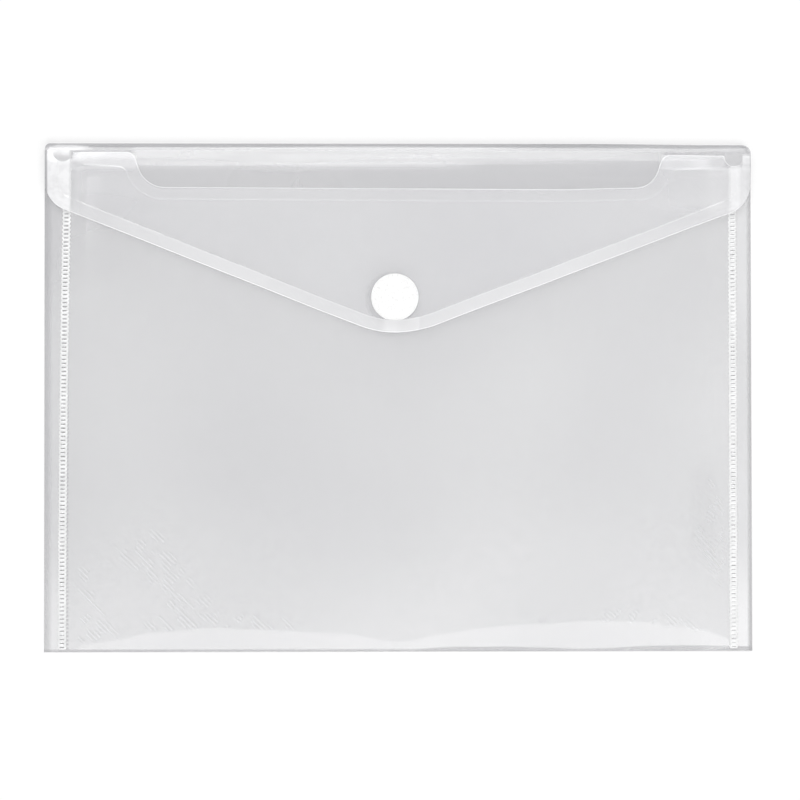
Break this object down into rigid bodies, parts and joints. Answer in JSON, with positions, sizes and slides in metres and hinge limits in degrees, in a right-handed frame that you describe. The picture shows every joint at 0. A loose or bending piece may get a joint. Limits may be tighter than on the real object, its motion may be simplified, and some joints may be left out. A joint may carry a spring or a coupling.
{
  "type": "document wallet",
  "caption": "Clear landscape film document wallet with welded sides, a thumb-cut mouth and a pointed flap that closes on a round hook-and-loop dot.",
  "frame": {"origin": "middle of the back film's underside, where the closed wallet lies on a table", "axes": "+X along the wallet's width to the viewer's right, +Y up the front towards the flap's fold, +Z out of the front"},
  "size_m": [0.335, 0.2405, 0.0071],
  "materials": {
    "clear_film": "clear polypropylene film with a fine embossed grain",
    "weld": "milky melted film with a ladder pattern",
    "adhesive": "clear-white pressure-sensitive adhesive",
    "loop_pile": "white napped loop pile",
    "hook_tape": "white woven tape with rows of hooks"
  },
  "bodies": {
    "pocket": {"back_panel": "clear_film", "bottom_fold": "clear_film", "front_panel": "clear_film", "left_weld_seam": "weld", "right_weld_seam": "weld", "top_fold": "clear_film", "loop_adhesive": "adhesive", "loop_disc": "loop_pile"},
    "flap": {"flap": "clear_film", "hook_adhesive": "adhesive", "hook_disc": "hook_tape"}
  },
  "joints": [
    {"name": "flap_fold", "type": "hinge", "parent": "pocket", "child": "flap", "pos_m": [0, 0.1167, 0.00355], "axis": [-1, 0, 0], "range_deg": [0, 178], "deforming": ["top_fold"]}
  ]
}
